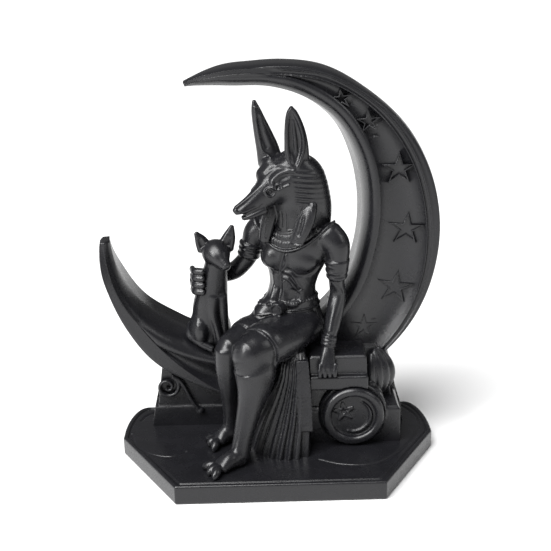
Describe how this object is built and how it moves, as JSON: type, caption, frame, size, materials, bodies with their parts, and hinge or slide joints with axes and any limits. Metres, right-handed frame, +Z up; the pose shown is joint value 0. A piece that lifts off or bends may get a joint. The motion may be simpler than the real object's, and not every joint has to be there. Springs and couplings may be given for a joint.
{
  "type": "seated jackal-headed figurine on a crescent",
  "caption": "One-piece printed souvenir: a jackal-headed figure seated on a plinth inside an upright crescent, one arm round a pup.",
  "frame": {"origin": "on the underside of the plinth, at the middle of its width and depth", "axes": "+X to the right of the front view, +Y to the back, +Z up"},
  "size_m": [0.1282, 0.063, 0.1489],
  "materials": {
    "black_plastic": "satin black plastic, with the fine contour steps of a fused-filament print"
  },
  "bodies": {
    "root": {"anubis_figurine": "black_plastic"}
  },
  "joints": []
}
